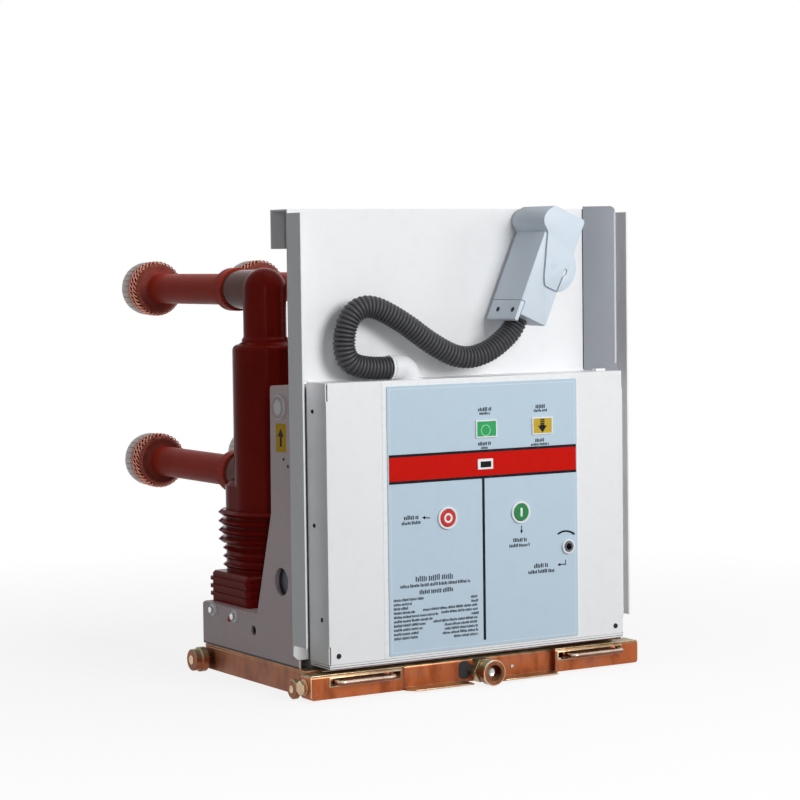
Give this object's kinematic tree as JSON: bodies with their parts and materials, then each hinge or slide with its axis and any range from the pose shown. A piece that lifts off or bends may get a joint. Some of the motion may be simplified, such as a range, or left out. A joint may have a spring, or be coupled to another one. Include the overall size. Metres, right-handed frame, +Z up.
{
  "type": "withdrawable vacuum circuit breaker",
  "caption": "Medium-voltage vacuum circuit breaker with embedded poles and tulip contacts on a wheeled truck, with a control cover, tall back plate and a plug on a hose.",
  "frame": {"origin": "on the floor under the middle of the breaker's box, without the hose and its plug", "axes": "+X to the right along the front, +Y from the front towards the contacts, +Z up"},
  "size_m": [0.6646, 0.827, 0.7681],
  "materials": {
    "white_paint": "smooth powder coat",
    "grey_paint": "fine textured powder coat",
    "yellow_zinc": "yellow chromate zinc plating, iridescent",
    "epoxy": "glossy cast epoxy",
    "sleeve": "heat shrink sleeve",
    "contact_metal": "silver plated copper",
    "tulip_metal": "silver plated copper fingers",
    "panel_film": "printed film on sheet",
    "red_band": "printed film",
    "dark_window": "dark window",
    "green_window": "clear window over a green flag",
    "yellow_window": "clear window over a yellow flag",
    "red_button": "moulded button",
    "green_button": "moulded button",
    "white_plastic": "moulded plastic",
    "steel": "turned steel",
    "hose": "corrugated conduit"
  },
  "bodies": {
    "breaker": {"beam_ends": "yellow_zinc", "beam_centre": "yellow_zinc", "chassis_rails": "yellow_zinc", "chassis_rear_bar": "yellow_zinc", "chassis_deck": "yellow_zinc", "wheel_axles": "yellow_zinc", "drive_bearing": "yellow_zinc", "frame_side_plates": "grey_paint", "lifting_plugs": "white_plastic", "base_deck": "grey_paint", "base_rear_wall": "grey_paint", "bay_rear_wall": "grey_paint", "bay_top": "grey_paint", "mechanism_housing": "grey_paint", "front_sill": "white_paint", "front_cover": "white_paint", "front_panel": "panel_film", "title_band": "red_band", "counter_window": "dark_window", "state_window": "green_window", "charge_window": "yellow_window", "button_bezels": "white_plastic", "back_plate": "white_paint", "plate_side_flanges": "white_paint", "plate_top_flange": "white_paint", "corner_channel": "white_paint", "pole_left": "epoxy", "pole_middle": "epoxy", "pole_right": "epoxy", "contact_arms": "contact_metal", "arm_sleeves": "sleeve", "tulip_contacts": "tulip_metal", "hose_gland": "white_plastic", "plug_body": "white_plastic", "hose": "hose"},
    "wheel_front_left": {"wheel_front_left": "yellow_zinc"},
    "wheel_front_right": {"wheel_front_right": "yellow_zinc"},
    "wheel_rear_left": {"wheel_rear_left": "yellow_zinc"},
    "wheel_rear_right": {"wheel_rear_right": "yellow_zinc"},
    "pull_handle_left": {"pull_handle_left": "yellow_zinc"},
    "pull_handle_right": {"pull_handle_right": "yellow_zinc"},
    "drive_socket": {"drive_socket": "yellow_zinc"},
    "open_button": {"open_button": "red_button"},
    "close_button": {"close_button": "green_button"},
    "charging_socket": {"charging_socket": "steel"},
    "plug_lever": {"plug_lever": "white_plastic"}
  },
  "joints": [
    {"name": "front_left_roll", "type": "hinge", "parent": "breaker", "child": "wheel_front_left", "pos_m": [-0.312, -0.3195, 0.0155], "axis": [1, 0, 0], "continuous": true},
    {"name": "front_right_roll", "type": "hinge", "parent": "breaker", "child": "wheel_front_right", "pos_m": [0.312, -0.3195, 0.0155], "axis": [1, 0, 0], "continuous": true},
    {"name": "rear_left_roll", "type": "hinge", "parent": "breaker", "child": "wheel_rear_left", "pos_m": [-0.312, -0.0035, 0.0205], "axis": [1, 0, 0], "continuous": true},
    {"name": "rear_right_roll", "type": "hinge", "parent": "breaker", "child": "wheel_rear_right", "pos_m": [0.312, -0.0035, 0.0205], "axis": [1, 0, 0], "continuous": true},
    {"name": "left_handle_slide", "type": "slide", "parent": "breaker", "child": "pull_handle_left", "axis": [1, 0, 0], "range_m": [0, 0.01]},
    {"name": "right_handle_slide", "type": "slide", "parent": "breaker", "child": "pull_handle_right", "axis": [-1, 0, 0], "range_m": [0, 0.01]},
    {"name": "drive_turn", "type": "hinge", "parent": "breaker", "child": "drive_socket", "pos_m": [0, -0.3935, 0.0225], "axis": [0, 1, 0], "continuous": true},
    {"name": "open_press", "type": "slide", "parent": "breaker", "child": "open_button", "axis": [0, 1, 0], "range_m": [0, 0.005], "stiffness_N_per_m": 400},
    {"name": "close_press", "type": "slide", "parent": "breaker", "child": "close_button", "axis": [0, 1, 0], "range_m": [0, 0.005], "stiffness_N_per_m": 400},
    {"name": "charging_turn", "type": "hinge", "parent": "breaker", "child": "charging_socket", "pos_m": [0.168, -0.3735, 0.21], "axis": [0, 1, 0], "continuous": true},
    {"name": "lever_swing", "type": "hinge", "parent": "breaker", "child": "plug_lever", "pos_m": [0.12306, -0.3665, 0.66817], "axis": [0, -1, 0], "range_deg": [0, 75]}
  ]
}
